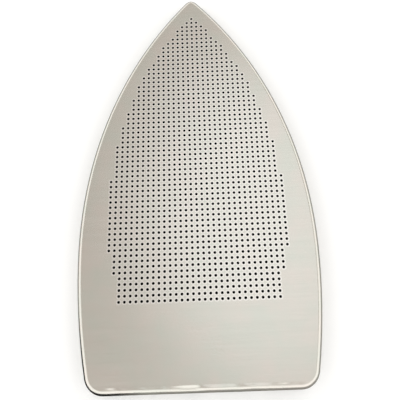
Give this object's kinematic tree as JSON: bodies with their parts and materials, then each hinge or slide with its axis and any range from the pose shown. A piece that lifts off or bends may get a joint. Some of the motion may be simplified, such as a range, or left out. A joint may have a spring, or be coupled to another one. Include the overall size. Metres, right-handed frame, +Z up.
{
  "type": "iron shoe cover",
  "caption": "Shallow pan pressed from sheet metal, with a pointed perforated sole and a short rim, that slips over the sole of a steam iron.",
  "frame": {"origin": "middle of the outline, at the level of the rim's free edge, on which the pan rests with its sole up", "axes": "+Y from the heel towards the tip, +X to the right seen from above, +Z up through the ironing face"},
  "size_m": [0.13, 0.233, 0.011],
  "materials": {
    "sheet": "satin, lightly frosted, with fine wiping marks"
  },
  "bodies": {
    "root": {"shoe_pan": "sheet"}
  },
  "joints": []
}
